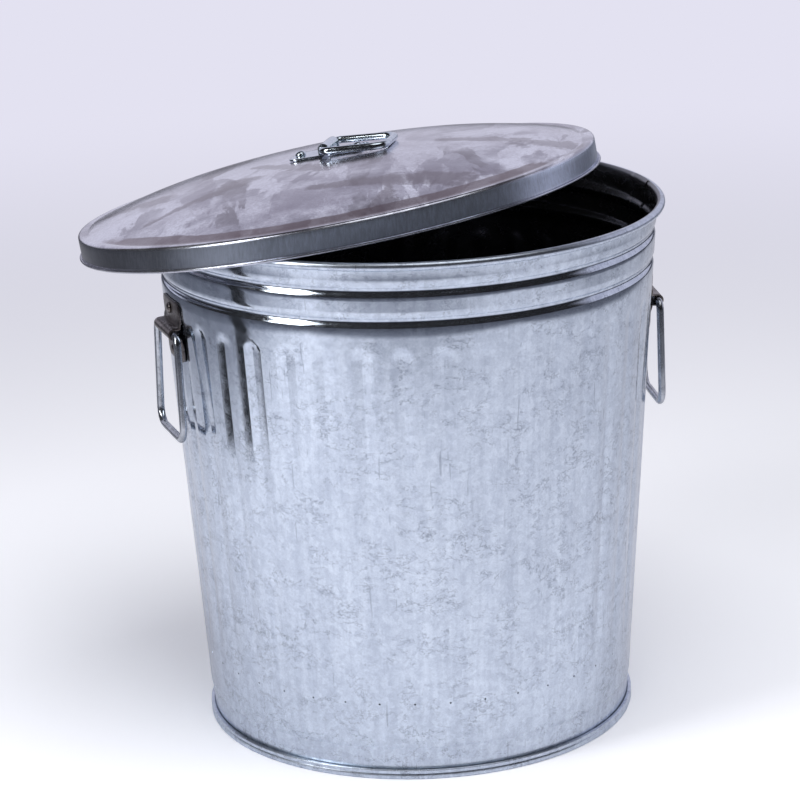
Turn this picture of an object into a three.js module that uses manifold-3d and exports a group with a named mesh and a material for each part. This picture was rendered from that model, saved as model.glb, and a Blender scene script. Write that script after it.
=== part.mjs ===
// Galvanized steel can with a loose lid lying askew on its rim.
// Units are millimetres, +Z is up and the floor is at z = 0.
import * as THREE from 'three';
import { mergeVertices } from 'three/addons/utils/BufferGeometryUtils.js';
import Module from 'manifold-3d';

const wasm = await Module();
wasm.setup();
const { Manifold, Mesh: SolidMesh } = wasm;

// Place of the can's axis in the frame, so that the whole object's box is centred on the origin.
const canX = 29;
const canY = -13.4;

// Can wall: a cone of sheet with pressed-in flutes and two ring grooves below the rim.
const sheet = 0.8;
const wallBaseRadius = 173.5;
const rimCentreHeight = 423.6;
const rimRadius = 205;
const rimWireRadius = 2.0;
const rimWireRoom = 0.6;
const rimTube = rimWireRadius + rimWireRoom + sheet;
const rimOutset = 0.48;
const rimCurlEnd = -110;
const wallSlope = (rimRadius - rimWireRadius - rimWireRoom - rimOutset - wallBaseRadius) / rimCentreHeight;
const footGap = 0.3;
const wallTuck = 1.0;
const tuckHeight = 28;
const fluteCount = 40;
const fluteDepth = 2.6;
const fluteLow = 69;
const fluteDrop = 67.6;
const fluteHigh = rimCentreHeight - fluteDrop;
const fluteRunOut = 7;
const flutePhase = -3.3;
const grooveDepth = 2.4;
const grooveHalfWidth = 4.5;
const grooveDrops = [44.1, 20.1];
const lapThickness = 0.8;
const lapAzimuth = 14.7;
const lapWidth = 9;
const columns = fluteCount * 2;

// Base pan: a raised floor whose flange folds under and round the wall's lower edge.
const panColumns = 60;
const panRise = 7;
const panSheet = 0.9;
const chimeProud = 2.66;
const chimeHeight = 8;
const chimeCorner = 0.8;

// Lid: domed pan, upright skirt, hem rolled outwards.
const lidColumns = 60;
const lidSheet = 0.7;
const lidPlay = 3.6;
const lidSkirtInner = rimRadius + rimTube + lidPlay;
const lidHeight = 19;
const lidDome = 24;
const lidDomePower = 2.6;
const lidShoulder = 8;
const lidDomeRadius = lidSkirtInner - lidShoulder;
const lidCorner = 2.4;
const lidHemRadius = 1.7;
const lidHemEnd = 36;

// How the lid lies: shifted off the can's axis, one side dropped outside the rim.
const lidShift = 57.9;
const lidAzimuth = 159.2;
const seatGap = 0.6;

// Handle wire, brackets, rivets and their backing washers.
const wireRadius = 3;
const wireRoom = 0.35;
const strap = 1.4;
const standoff = 5.6;
const sideBracketWidth = 44;
const lidBracketWidth = 36;
const bracketSeat = 0.35;
const rivetShank = 2.0;
const rivetHole = 2.3;
const rivetHead = 4.4;
const rivetTail = 3.6;
const washerRadius = 5.2;
const washerThickness = 0.8;
const looseGap = 0.3;

// Side handles, hanging plumb.
const sideHalfLength = 25;
const sideRivetReach = 17;
const sideBarHalf = 29.4;
const sideFootHalf = 34.9;
const sideDrop = 84.8;
const sides = {
  left: { azimuth: 202, drop: 78.6 },
  right: { azimuth: 10.5, drop: 87.6 },
};

// Lid handle, lying on the dome.
const lidHandleTurn = -8.5;
const lidHalfLength = 31;
const lidRivetReach = 24;
const lidBarHalf = 27;
const lidFootHalf = 25;
const lidDrop = 52;

const rad = (degrees) => degrees * Math.PI / 180;

const zinc = new THREE.MeshStandardMaterial({ color: 0xb4bac4, roughness: 0.42, metalness: 0.85 });
const lidZinc = new THREE.MeshStandardMaterial({ color: 0x9d9cab, roughness: 0.38, metalness: 0.85 });
const wireZinc = new THREE.MeshStandardMaterial({ color: 0x878d96, roughness: 0.3, metalness: 0.9 });

const can = new THREE.Group();
can.name = 'galvanized_can';
can.position.set(canX, canY, 0);

function addPart(name, geometry, material, parent) {
  const mesh = new THREE.Mesh(geometry, material);
  mesh.name = name;
  (parent ?? can).add(mesh);
  return mesh;
}

// Revolve a profile about Z. Closed profiles join their last point to their first;
// open ones start and end on the axis. Each point is [radius, height, flute, lap].
function revolve(profile, count, closed, shape, phase = 0) {
  const positions = [];
  const index = [];
  const rows = profile.length;
  for (const [radius, height, flute = 0, lap = 0] of profile) {
    for (let j = 0; j < count; j += 1) {
      const angle = 2 * Math.PI * j / count + rad(phase);
      const r = shape ? shape(radius, flute, lap, j) : radius;
      positions.push(r * Math.cos(angle), r * Math.sin(angle), height);
    }
  }
  const at = (i, j) => (i % rows) * count + (j % count);
  const onAxis = (i) => profile[i % rows][0] === 0;
  const last = closed ? rows : rows - 1;
  for (let i = 0; i < last; i += 1) {
    for (let j = 0; j < count; j += 1) {
      if (!onAxis(i)) {
        index.push(at(i, j), at(i, j + 1), at(i + 1, j));
      }
      if (!onAxis(i + 1)) {
        index.push(at(i, j + 1), at(i + 1, j + 1), at(i + 1, j));
      }
    }
  }
  return asGeometry(positions, index);
}

// Faces turned outwards: the signed volume of a closed body is positive.
function turnOutwards(positions, index) {
  let volume = 0;
  const point = (k) => new THREE.Vector3(...positions.slice(3 * k, 3 * k + 3));
  for (let i = 0; i < index.length; i += 3) {
    const [a, b, c] = [point(index[i]), point(index[i + 1]), point(index[i + 2])];
    volume += a.dot(b.cross(c));
  }
  if (volume < 0) {
    index.reverse();
  }
}

function asGeometry(positions, index) {
  turnOutwards(positions, index);
  const geometry = new THREE.BufferGeometry();
  geometry.setAttribute('position', new THREE.Float32BufferAttribute(positions, 3));
  geometry.setIndex(index);
  return mergeVertices(geometry, 1e-4);
}

function toSolid(geometry) {
  const bare = new THREE.BufferGeometry();
  bare.setAttribute('position', geometry.getAttribute('position').clone());
  bare.setIndex(geometry.index ? geometry.index.clone() : null);
  const joined = mergeVertices(bare, 1e-4);
  const faces = [];
  const source = joined.index.array;
  for (let i = 0; i < source.length; i += 3) {
    const [a, b, c] = [source[i], source[i + 1], source[i + 2]];
    if (a !== b && b !== c && a !== c) {
      faces.push(a, b, c);
    }
  }
  const triVerts = new Uint32Array(faces);
  const vertProperties = new Float32Array(joined.getAttribute('position').array);
  return new Manifold(new SolidMesh({ numProp: 3, triVerts, vertProperties }));
}

function fromSolid(solid) {
  const mesh = solid.getMesh();
  return asGeometry(Array.from(mesh.vertProperties), Array.from(mesh.triVerts));
}

// Take drill-shaped tools out of a body.
function drill(geometry, tools) {
  let solid = toSolid(geometry);
  for (const tool of tools) {
    solid = solid.subtract(toSolid(tool));
  }
  return fromSolid(solid);
}

function arcPoints(centreRadius, centreHeight, radius, from, to, steps, flute, lap) {
  const points = [];
  for (let i = 0; i <= steps; i += 1) {
    const angle = rad(from + (to - from) * i / steps);
    points.push([
      centreRadius + radius * Math.cos(angle),
      centreHeight + radius * Math.sin(angle),
      flute ?? 0,
      lap ?? 0,
    ]);
  }
  return points;
}

const wallAt = (height) => wallBaseRadius + wallSlope * height;

// Outer face of the wall from the foot to the last groove, as [radius, height, flute, lap].
function wallRows() {
  const rows = [
    [wallAt(sheet + footGap) - wallTuck, panSheet + footGap, 0, 0],
    [wallAt(tuckHeight), tuckHeight, 0, 1],
    [wallAt(fluteLow), fluteLow, 0, 1],
    [wallAt(fluteLow + fluteRunOut), fluteLow + fluteRunOut, 1, 1],
    [wallAt(fluteHigh - fluteRunOut), fluteHigh - fluteRunOut, 1, 1],
    [wallAt(fluteHigh), fluteHigh, 0, 1],
  ];
  for (const height of grooveDrops.map((drop) => rimCentreHeight - drop)) {
    rows.push([wallAt(height - grooveHalfWidth), height - grooveHalfWidth, 0, 1]);
    rows.push([wallAt(height) - grooveDepth, height, 0, 1]);
    rows.push([wallAt(height + grooveHalfWidth), height + grooveHalfWidth, 0, 1]);
  }
  return rows;
}

function buildShell() {
  const outer = wallRows();
  const inner = outer.map(([radius, height, flute, lap]) => [radius - sheet, height, flute, lap]).reverse();
  outer.forEach((row) => { row[3] = 0; });
  const curlInside = arcPoints(rimRadius, rimCentreHeight, rimTube - sheet, 180, rimCurlEnd, 5);
  const curlOutside = arcPoints(rimRadius, rimCentreHeight, rimTube, rimCurlEnd, 180, 5);
  const profile = [...outer, ...curlInside, ...curlOutside, ...inner];
  const lapFrom = Math.round(columns * (lapAzimuth - flutePhase) / 360);
  const lapTo = lapFrom + Math.round(columns * lapWidth / 360);
  const shape = (radius, flute, lap, j) => {
    const valley = j % 2 === 1 ? fluteDepth : 0;
    const step = j >= lapFrom && j <= lapTo ? lapThickness : 0;
    return radius - flute * valley - lap * step;
  };
  return revolve(profile, columns, true, shape, flutePhase);
}

function buildRimWire() {
  const ring = arcPoints(rimRadius, rimCentreHeight, rimWireRadius, 0, 288, 4);
  return revolve(ring, columns, true, null, flutePhase);
}

function buildPan() {
  const wallFoot = wallAt(chimeHeight) - wallTuck;
  const flangeOuter = wallAt(sheet + footGap) - wallTuck - sheet - 0.4;
  const flangeInner = flangeOuter - panSheet;
  const foldInner = wallFoot + 0.9;
  const chimeRadius = wallAt(chimeHeight) + chimeProud;
  const top = chimeHeight;
  const c = chimeCorner;
  const profile = [
    [0, panRise],
    [flangeInner - 3, panRise],
    [flangeInner, panRise - 2],
    [flangeInner, c],
    [flangeInner + c, 0],
    [chimeRadius - c, 0],
    [chimeRadius, c],
    [chimeRadius, top - c],
    [chimeRadius - c, top],
    [foldInner + c, top],
    [foldInner, top - c],
    [foldInner, panSheet],
    [flangeOuter, panSheet],
    [flangeOuter, panRise - 1],
    [flangeOuter - 3, panRise + panSheet],
    [0, panRise + panSheet],
  ];
  return revolve(profile, panColumns, false);
}

// Height of the lid's upper face above the hem's centre, for one radius.
function lidTop(radius) {
  const q = Math.min(radius / lidDomeRadius, 1);
  return lidHeight + lidDome * (1 - q ** lidDomePower);
}

const lidStations = [0, 0.3, 0.52, 0.7, 0.86, 1].map((q) => q * lidDomeRadius);

function lidUnderRows() {
  return lidStations.map((radius) => [radius, lidTop(radius) - lidSheet]);
}

function buildLid() {
  const outerFace = lidSkirtInner + lidSheet;
  const hemCentre = lidSkirtInner + lidHemRadius;
  const top = lidStations.map((radius) => [radius, lidTop(radius)]);
  const upper = [
    [outerFace - lidCorner, lidHeight],
    [outerFace - lidCorner * 0.3, lidHeight - lidCorner * 0.3],
    [outerFace, lidHeight - lidCorner],
  ];
  const lower = [
    [lidSkirtInner, lidHeight - lidCorner - 0.2],
    [lidSkirtInner - lidCorner * 0.3, lidHeight - lidSheet - lidCorner * 0.3],
    [outerFace - lidCorner - 0.4, lidHeight - lidSheet],
  ];
  const hemInside = arcPoints(hemCentre, 0, lidHemRadius - lidSheet, -180, lidHemEnd, 3);
  const hemOutside = arcPoints(hemCentre, 0, lidHemRadius, lidHemEnd, -180, 3);
  const under = lidUnderRows().reverse();
  return revolve([...top, ...upper, ...hemInside, ...hemOutside, ...lower, ...under], lidColumns, false);
}

// Clearance between the lid's underside and the rim's top, for one lift and tilt.
function lidClearances(lift, tilt) {
  const under = lidUnderRows();
  const hemCentre = lidSkirtInner + lidHemRadius;
  let overHem = Infinity;
  let overDome = Infinity;
  for (let k = 0; k < 180; k += 1) {
    for (let side = -2; side <= 2; side += 1) {
      const across = rimTube * side / 2;
      const radius = rimRadius + across;
      const height = rimCentreHeight + Math.sqrt(Math.max(rimTube ** 2 - across ** 2, 0));
      const x = radius * Math.cos(rad(2 * k)) - lidShift;
      const y = radius * Math.sin(rad(2 * k));
      const z = height - lift;
      const along = x * Math.cos(tilt) - z * Math.sin(tilt);
      const up = x * Math.sin(tilt) + z * Math.cos(tilt);
      const r = Math.hypot(along, y);
      const offset = Math.abs(r - hemCentre);
      if (offset < lidHemRadius) {
        overHem = Math.min(overHem, -Math.sqrt(lidHemRadius ** 2 - offset ** 2) - up);
      } else if (r < lidSkirtInner - 1) {
        overDome = Math.min(overDome, underAt(under, r) - up);
      }
    }
  }
  return [overHem, overDome];
}

function underAt(rows, radius) {
  for (let i = 1; i < rows.length; i += 1) {
    if (radius <= rows[i][0]) {
      const t = (radius - rows[i - 1][0]) / (rows[i][0] - rows[i - 1][0]);
      return rows[i - 1][1] + t * (rows[i][1] - rows[i - 1][1]);
    }
  }
  return lidHeight - lidSheet;
}

// The lid rests with its hem on the rim at two places and its dome on the rim at a third.
function settleLid() {
  const liftFor = (tilt) => {
    let low = rimCentreHeight - 60;
    let high = rimCentreHeight + 60;
    for (let i = 0; i < 40; i += 1) {
      const middle = (low + high) / 2;
      if (lidClearances(middle, tilt)[0] < seatGap) {
        low = middle;
      } else {
        high = middle;
      }
    }
    return high;
  };
  let flat = 0;
  let steep = rad(20);
  for (let i = 0; i < 40; i += 1) {
    const tilt = (flat + steep) / 2;
    if (lidClearances(liftFor(tilt), tilt)[1] < seatGap) {
      steep = tilt;
    } else {
      flat = tilt;
    }
  }
  return { lift: liftFor(flat), tilt: flat };
}

// Bent strap with a hump over the handle's bar. X is across, Y along the strap, Z away from the seat.
function bracketGeometry(halfLength, rivetReach, fullWidth) {
  const roomRadius = wireRadius + wireRoom;
  const humpRadius = roomRadius + strap;
  const shape = new THREE.Shape();
  const middle = (halfLength + humpRadius) / 2;
  shape.moveTo(-halfLength, 0);
  shape.lineTo(-middle, 0);
  shape.lineTo(-roomRadius, 0);
  shape.lineTo(-roomRadius, standoff);
  for (let i = 1; i < 6; i += 1) {
    const angle = Math.PI - Math.PI * i / 6;
    shape.lineTo(roomRadius * Math.cos(angle), standoff + roomRadius * Math.sin(angle));
  }
  shape.lineTo(roomRadius, standoff);
  shape.lineTo(roomRadius, 0);
  shape.lineTo(middle, 0);
  shape.lineTo(halfLength, 0);
  shape.lineTo(halfLength, strap);
  shape.lineTo(middle, strap);
  shape.lineTo(humpRadius, strap);
  shape.lineTo(humpRadius, standoff);
  for (let i = 1; i < 6; i += 1) {
    const angle = Math.PI * i / 6;
    shape.lineTo(humpRadius * Math.cos(angle), standoff + humpRadius * Math.sin(angle));
  }
  shape.lineTo(-humpRadius, standoff);
  shape.lineTo(-humpRadius, strap);
  shape.lineTo(-middle, strap);
  shape.lineTo(-halfLength, strap);
  shape.closePath();
  const geometry = new THREE.ExtrudeGeometry(shape, { depth: fullWidth, bevelEnabled: false, steps: 1 });
  const source = geometry.getAttribute('position');
  const positions = [];
  for (let i = 0; i < source.count; i += 1) {
    const along = source.getX(i);
    const away = source.getY(i);
    const reach = Math.abs(along);
    let width = 1;
    if (reach > middle - 0.01) {
      width = 1 - 0.08 * (reach < halfLength - 0.01) - 0.42 * (reach >= halfLength - 0.01);
    }
    const across = (source.getZ(i) - fullWidth / 2) * width;
    positions.push(across, along, away);
  }
  const plain = asGeometry(positions, [...Array(source.count).keys()]);
  const holes = [-1, 1].map((side) => {
    const tool = new THREE.CylinderGeometry(rivetHole, rivetHole, 6 * strap, 12);
    tool.rotateX(Math.PI / 2);
    tool.translate(0, side * rivetReach, strap / 2);
    return tool;
  });
  return drill(plain, holes);
}

// Rivet along Z: head above the strap, tail under the backing washer.
function rivetGeometry(headHeight, grip) {
  const above = strap + looseGap;
  const below = -(grip + washerThickness + 2 * looseGap);
  const profile = [
    [0, above + headHeight],
    [rivetHead * 0.55, above + headHeight * 0.86],
    [rivetHead, above + headHeight * 0.3],
    [rivetHead, above],
    [rivetShank, above],
    [rivetShank, below],
    [rivetTail, below],
    [rivetTail * 0.8, below - 1],
    [0, below - 1.3],
  ];
  return revolve(profile, 12, false);
}

function washerGeometry(grip) {
  const top = -(grip + looseGap);
  const bottom = top - washerThickness;
  const profile = [
    [rivetHole, top],
    [washerRadius, top],
    [washerRadius, bottom],
    [rivetHole, bottom],
  ];
  return revolve(profile, 12, true);
}

// Wire bail: bar through the hump, two legs, foot bar. X is across, Y runs along the legs.
function bailGeometry(barHalf, footHalf, drop, corner) {
  const half = [
    new THREE.Vector3(0.8, 0, 0),
    new THREE.Vector3(barHalf, 0, 0),
    new THREE.Vector3(footHalf, -drop, 0),
    new THREE.Vector3(0, -drop, 0),
  ];
  const mirrored = half.slice(0, 3).reverse().map((p) => new THREE.Vector3(-p.x, p.y, p.z));
  const corners = [...half, ...mirrored];
  const path = new THREE.CurvePath();
  let from = corners[0];
  for (let i = 1; i < corners.length - 1; i += 1) {
    if (i === 3) {
      continue;
    }
    const bend = i === 1 || i === 5 ? 6.5 : corner;
    const into = corners[i].clone().sub(corners[i - 1]).normalize();
    const out = corners[i + 1].clone().sub(corners[i]).normalize();
    const start = corners[i].clone().addScaledVector(into, -bend);
    const end = corners[i].clone().addScaledVector(out, bend);
    path.add(new THREE.LineCurve3(from, start));
    path.add(new THREE.QuadraticBezierCurve3(start, corners[i], end));
    from = end;
  }
  path.add(new THREE.LineCurve3(from, corners[corners.length - 1]));
  const section = new THREE.Shape();
  for (let i = 0; i < 8; i += 1) {
    const angle = Math.PI * (i + 0.5) / 4;
    const [x, y] = [wireRadius * Math.cos(angle), wireRadius * Math.sin(angle)];
    if (i === 0) {
      section.moveTo(x, y);
    } else {
      section.lineTo(x, y);
    }
  }
  section.closePath();
  return new THREE.ExtrudeGeometry(section, { steps: 40, bevelEnabled: false, extrudePath: path });
}

// A frame on a seat: X across, Y along the strap, Z out of the seat.
function seatFrame(across, along, out, place) {
  const matrix = new THREE.Matrix4().makeBasis(across, along, out);
  matrix.setPosition(place);
  return matrix;
}

function placed(geometry, matrix) {
  const copy = geometry.clone();
  copy.applyMatrix4(matrix);
  return copy;
}

function drillTool(reach, depth, matrix) {
  const tool = new THREE.CylinderGeometry(rivetHole, rivetHole, depth, 12);
  tool.rotateX(Math.PI / 2);
  tool.translate(0, reach, 0);
  tool.applyMatrix4(matrix);
  return tool;
}

// Side brackets sit flat on the wall's outer face, leaning with its taper.
const shellHoles = [];
const lean = Math.atan(wallSlope);
for (const [side, { azimuth, drop }] of Object.entries(sides)) {
  const a = rad(azimuth);
  const height = rimCentreHeight - drop;
  const across = new THREE.Vector3(-Math.sin(a), Math.cos(a), 0);
  const along = new THREE.Vector3(Math.cos(a) * Math.sin(lean), Math.sin(a) * Math.sin(lean), Math.cos(lean));
  const out = new THREE.Vector3().crossVectors(across, along);
  const radius = wallAt(height) + bracketSeat;
  const seat = new THREE.Vector3(radius * Math.cos(a), radius * Math.sin(a), height);
  const frame = seatFrame(across, along, out, seat);
  const strapBody = bracketGeometry(sideHalfLength, sideRivetReach, sideBracketWidth);
  addPart(`${side}_bracket`, placed(strapBody, frame), wireZinc);
  for (const [place, reach] of [['upper', sideRivetReach], ['lower', -sideRivetReach]]) {
    const inFlute = height + reach - washerRadius < fluteHigh;
    const grip = bracketSeat + sheet + (inFlute ? fluteDepth : 0.3);
    const turn = new THREE.Matrix4().makeTranslation(0, reach, 0);
    const local = frame.clone().multiply(turn);
    addPart(`${side}_rivet_${place}`, placed(rivetGeometry(2.2, grip), local), wireZinc);
    addPart(`${side}_washer_${place}`, placed(washerGeometry(grip), local), zinc);
    shellHoles.push(drillTool(reach, 12, frame));
  }
  const axis = seat.clone().addScaledVector(out, standoff);
  const outward = new THREE.Vector3(Math.cos(a), Math.sin(a), 0);
  const hang = seatFrame(across, new THREE.Vector3(0, 0, 1), outward, axis);
  addPart(`${side}_handle`, placed(bailGeometry(sideBarHalf, sideFootHalf, sideDrop, 13), hang), wireZinc);
}

addPart('body_shell', drill(buildShell(), shellHoles), zinc);
addPart('rim_wire', buildRimWire(), wireZinc);
addPart('base_pan', buildPan(), zinc);

// The lid and what is on it, built level and then laid on the rim.
const { lift, tilt } = settleLid();
const turnAway = new THREE.Matrix4().makeRotationZ(rad(lidAzimuth - 180));
const shiftUp = new THREE.Matrix4().makeTranslation(-lidShift, 0, lift);
const tip = new THREE.Matrix4().makeRotationY(-tilt);
const lidFrame = turnAway.multiply(shiftUp.multiply(tip));
const handleTurn = new THREE.Matrix4().makeRotationZ(rad(lidHandleTurn - (lidAzimuth - 180) + 90));
const lidSeat = new THREE.Matrix4().makeTranslation(0, 0, lidTop(0) + bracketSeat);
const strapFrame = lidFrame.clone().multiply(handleTurn).multiply(lidSeat);
const localStrap = handleTurn.clone().multiply(lidSeat);
const lidDrills = [lidRivetReach, -lidRivetReach].map((reach) => drillTool(reach, 12, localStrap));
addPart('lid_pan', placed(drill(buildLid(), lidDrills), lidFrame), lidZinc);
const lidStrap = bracketGeometry(lidHalfLength, lidRivetReach, lidBracketWidth);
addPart('lid_bracket', placed(lidStrap, strapFrame), wireZinc);
for (const [place, reach] of [['near', lidRivetReach], ['far', -lidRivetReach]]) {
  const grip = bracketSeat + lidTop(0) - underAt(lidUnderRows(), lidRivetReach + washerRadius);
  const local = strapFrame.clone().multiply(new THREE.Matrix4().makeTranslation(0, reach, 0));
  addPart(`lid_rivet_${place}`, placed(rivetGeometry(3.6, grip), local), wireZinc);
  addPart(`lid_washer_${place}`, placed(washerGeometry(grip), local), zinc);
}
const endHeight = lidTop(0) + bracketSeat + standoff - lidTop(lidDrop + wireRadius) - wireRadius - 0.5;
const rest = Math.asin(endHeight / lidDrop);
const lieDown = new THREE.Matrix4().makeTranslation(0, 0, standoff);
lieDown.multiply(new THREE.Matrix4().makeRotationX(rest));
const lidBail = placed(bailGeometry(lidBarHalf, lidFootHalf, lidDrop, 11), strapFrame.clone().multiply(lieDown));
addPart('lid_handle', lidBail, wireZinc);

export default can;
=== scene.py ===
import math

import bpy
from mathutils import Matrix, Vector


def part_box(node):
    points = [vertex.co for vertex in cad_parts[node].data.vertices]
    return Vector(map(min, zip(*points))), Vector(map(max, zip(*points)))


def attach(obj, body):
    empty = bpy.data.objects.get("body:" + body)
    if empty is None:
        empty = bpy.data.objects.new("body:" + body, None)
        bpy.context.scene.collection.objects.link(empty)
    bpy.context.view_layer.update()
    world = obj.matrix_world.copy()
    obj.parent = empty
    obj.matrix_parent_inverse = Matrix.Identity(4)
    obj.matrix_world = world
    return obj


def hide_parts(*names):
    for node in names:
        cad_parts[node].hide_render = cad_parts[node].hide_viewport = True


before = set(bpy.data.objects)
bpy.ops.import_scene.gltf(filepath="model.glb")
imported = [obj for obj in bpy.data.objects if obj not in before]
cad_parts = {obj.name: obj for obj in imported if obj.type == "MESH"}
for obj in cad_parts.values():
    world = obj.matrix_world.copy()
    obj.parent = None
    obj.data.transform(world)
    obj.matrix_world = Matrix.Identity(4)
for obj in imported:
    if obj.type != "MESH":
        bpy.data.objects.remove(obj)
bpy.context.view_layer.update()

mm = 0.001  # sizes below are millimetres, times this
closePoints = 0.002 * mm  # points nearer to each other than this become one
tiny = 0.1  # millimetres, for finding points by their place

# the can's axis and the floor under it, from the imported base
baseLow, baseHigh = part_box("base_pan")
canAxis = Vector(((baseLow.x + baseHigh.x) / 2, (baseLow.y + baseHigh.y) / 2, 0.0))


def deselectAll():
    if bpy.context.object and bpy.context.object.mode != "OBJECT":
        bpy.ops.object.mode_set(mode="OBJECT")
    bpy.ops.object.select_all(action="DESELECT")


def pick(piece):
    deselectAll()
    piece.select_set(True)
    bpy.context.view_layer.objects.active = piece


def edit(piece, mode="VERT"):
    pick(piece)
    bpy.ops.object.mode_set(mode="EDIT")
    bpy.ops.mesh.select_mode(type=mode)
    bpy.ops.mesh.select_all(action="DESELECT")


def done():
    bpy.ops.object.mode_set(mode="OBJECT")


def selectPoints(piece, wanted):
    # selection set in object mode, then edit mode is entered again
    done()
    for vertex in piece.data.vertices:
        vertex.select = wanted(vertex.co, vertex.normal)
    bpy.ops.object.mode_set(mode="EDIT")


def nameIt(piece, name):
    piece.name = name
    piece.data.name = name
    return piece


def unit(degrees):
    return Vector((math.cos(math.radians(degrees)), math.sin(math.radians(degrees)), 0.0))


def softStep(low, high, value):
    t = min(max((value - low) / (high - low), 0.0), 1.0)
    return t * t * (3 - 2 * t)


def arc(centre, radius, start, end, steps):
    # points round a centre, angles in degrees
    return [
        (centre[0] + radius * math.cos(math.radians(start + (end - start) * i / steps)),
         centre[1] + radius * math.sin(math.radians(start + (end - start) * i / steps)))
        for i in range(steps + 1)
    ]


def evenly(low, high, step):
    count = max(1, round((high - low) / step))
    return [low + (high - low) * i / count for i in range(count + 1)]


def startPoint(name, place):
    # a small plane merged to one point, ready to be extruded
    deselectAll()
    bpy.ops.mesh.primitive_plane_add(size=mm, location=place)
    piece = nameIt(bpy.context.object, name)
    bpy.ops.object.transform_apply(location=True, rotation=True, scale=True)
    edit(piece)
    bpy.ops.mesh.select_all(action="SELECT")
    bpy.ops.mesh.merge(type="CENTER")
    return piece


def drawOutline(name, points, across=Vector((1, 0, 0)), up=Vector((0, 0, 1))):
    # the outline's points, in millimetres, extruded one from the other
    places = [(across * x + up * y) * mm for x, y in points]
    piece = startPoint(name, places[0])
    for before, place in zip(places, places[1:]):
        bpy.ops.mesh.extrude_region_move(TRANSFORM_OT_translate={"value": place - before})
    return piece


def spinRound(piece, steps):
    bpy.ops.mesh.select_all(action="SELECT")
    bpy.ops.mesh.spin(steps=steps, angle=2 * math.pi, center=(0, 0, 0), axis=(0, 0, 1))
    bpy.ops.mesh.select_all(action="SELECT")
    bpy.ops.mesh.remove_doubles(threshold=closePoints)
    bpy.ops.mesh.normals_make_consistent(inside=False)
    done()


def faceAway(piece, place):
    # turn an open sheet so that the face nearest to the place looks away from the axis
    face = min(piece.data.polygons, key=lambda f: (f.center - place).length)
    if face.normal.dot(Vector((place.x, place.y, 0))) < 0:
        edit(piece)
        bpy.ops.mesh.select_all(action="SELECT")
        bpy.ops.mesh.flip_normals()
        done()


def applyModifier(piece, kind, **settings):
    pick(piece)
    modifier = piece.modifiers.new(kind.title(), kind)
    for key, value in settings.items():
        setattr(modifier, key, value)
    bpy.ops.object.modifier_apply(modifier=modifier.name)


def push(piece, name, distance, weightAt, **settings):
    # move the surface along its normals or an axis, as far as the weight at each point says
    group = piece.vertex_groups.new(name=name)
    for vertex in piece.data.vertices:
        weight = weightAt(vertex.co, vertex.normal)
        if weight > 0:
            group.add([vertex.index], min(weight, 1.0), "REPLACE")
    applyModifier(piece, "DISPLACE", strength=distance, vertex_group=name,
                  **{"direction": "NORMAL", "mid_level": 0.0, **settings})
    piece.vertex_groups.remove(piece.vertex_groups[name])


def unevenness(name, size):
    clouds = bpy.data.textures.new(name, "CLOUDS")
    clouds.noise_scale = size * mm
    clouds.noise_depth = 1
    return clouds


def thicken(piece, sheet):
    applyModifier(piece, "SOLIDIFY", thickness=sheet * mm, offset=-1, use_even_offset=True)


def shadeSmooth(piece, angle):
    pick(piece)
    bpy.ops.object.shade_smooth_by_angle(angle=math.radians(angle))


def settle(piece, matrix):
    pick(piece)
    piece.matrix_world = matrix
    bpy.ops.object.transform_apply(location=True, rotation=True, scale=True)


def copyOf(piece, name):
    # each copy has its own mesh
    pick(piece)
    bpy.ops.object.duplicate(linked=False)
    return nameIt(bpy.context.object, name)


def handOver(piece, body, slot, material, *nodes):
    piece.data.materials.clear()
    piece.data.materials.append(material)
    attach(piece, body)
    if nodes:
        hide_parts(*nodes)


def newFinish(name):
    finish = bpy.data.materials.new(name)
    finish.use_nodes = True
    tree = finish.node_tree
    tree.nodes.clear()
    return finish, tree


def node(tree, kind, inputs=None, **settings):
    made = tree.nodes.new(kind)
    for key, value in settings.items():
        setattr(made, key, value)
    for key, value in (inputs or {}).items():
        if isinstance(value, bpy.types.NodeSocket):
            tree.links.new(value, made.inputs[key])
        else:
            made.inputs[key].default_value = value
    return made


def reckon(tree, operation, a, b):
    return node(tree, "ShaderNodeMath", {0: a, 1: b}, operation=operation).outputs[0]


def times(tree, a, b):
    return reckon(tree, "MULTIPLY", a, b)


def plus(tree, a, b):
    return reckon(tree, "ADD", a, b)


def total(tree, layers):
    # patterns added up, each with its share
    parts = [times(tree, layer, share) for layer, share in layers]
    added = parts[0]
    for part in parts[1:]:
        added = plus(tree, added, part)
    return added


def between(tree, value, low, high, toLow=0.0, toHigh=1.0):
    made = node(tree, "ShaderNodeMapRange", {"Value": value, "From Min": low, "From Max": high,
                                             "To Min": toLow, "To Max": toHigh},
                interpolation_type="SMOOTHSTEP")
    return made.outputs["Result"]


def colour(tree, factor, a, b):
    made = node(tree, "ShaderNodeMix", data_type="RGBA")
    for place, value in ((0, factor), (6, a), (7, b)):  # the mix node's sockets for colours
        if isinstance(value, bpy.types.NodeSocket):
            tree.links.new(value, made.inputs[place])
        else:
            made.inputs[place].default_value = value
    return made.outputs[2]


def number(tree, factor, a, b):
    return node(tree, "ShaderNodeMix", {0: factor, 2: a, 3: b}).outputs[0]


def attribute(tree, name):
    return node(tree, "ShaderNodeAttribute", attribute_name=name).outputs["Fac"]


def noise(tree, place, scale, detail=4.0, roughness=0.55, distortion=0.0):
    made = node(tree, "ShaderNodeTexNoise", {"Vector": place, "Scale": scale, "Detail": detail,
                                             "Roughness": roughness, "Distortion": distortion})
    return made.outputs["Fac"]


def stretched(tree, place, scale):
    return node(tree, "ShaderNodeMapping", {"Vector": place, "Scale": scale}).outputs[0]


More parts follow.
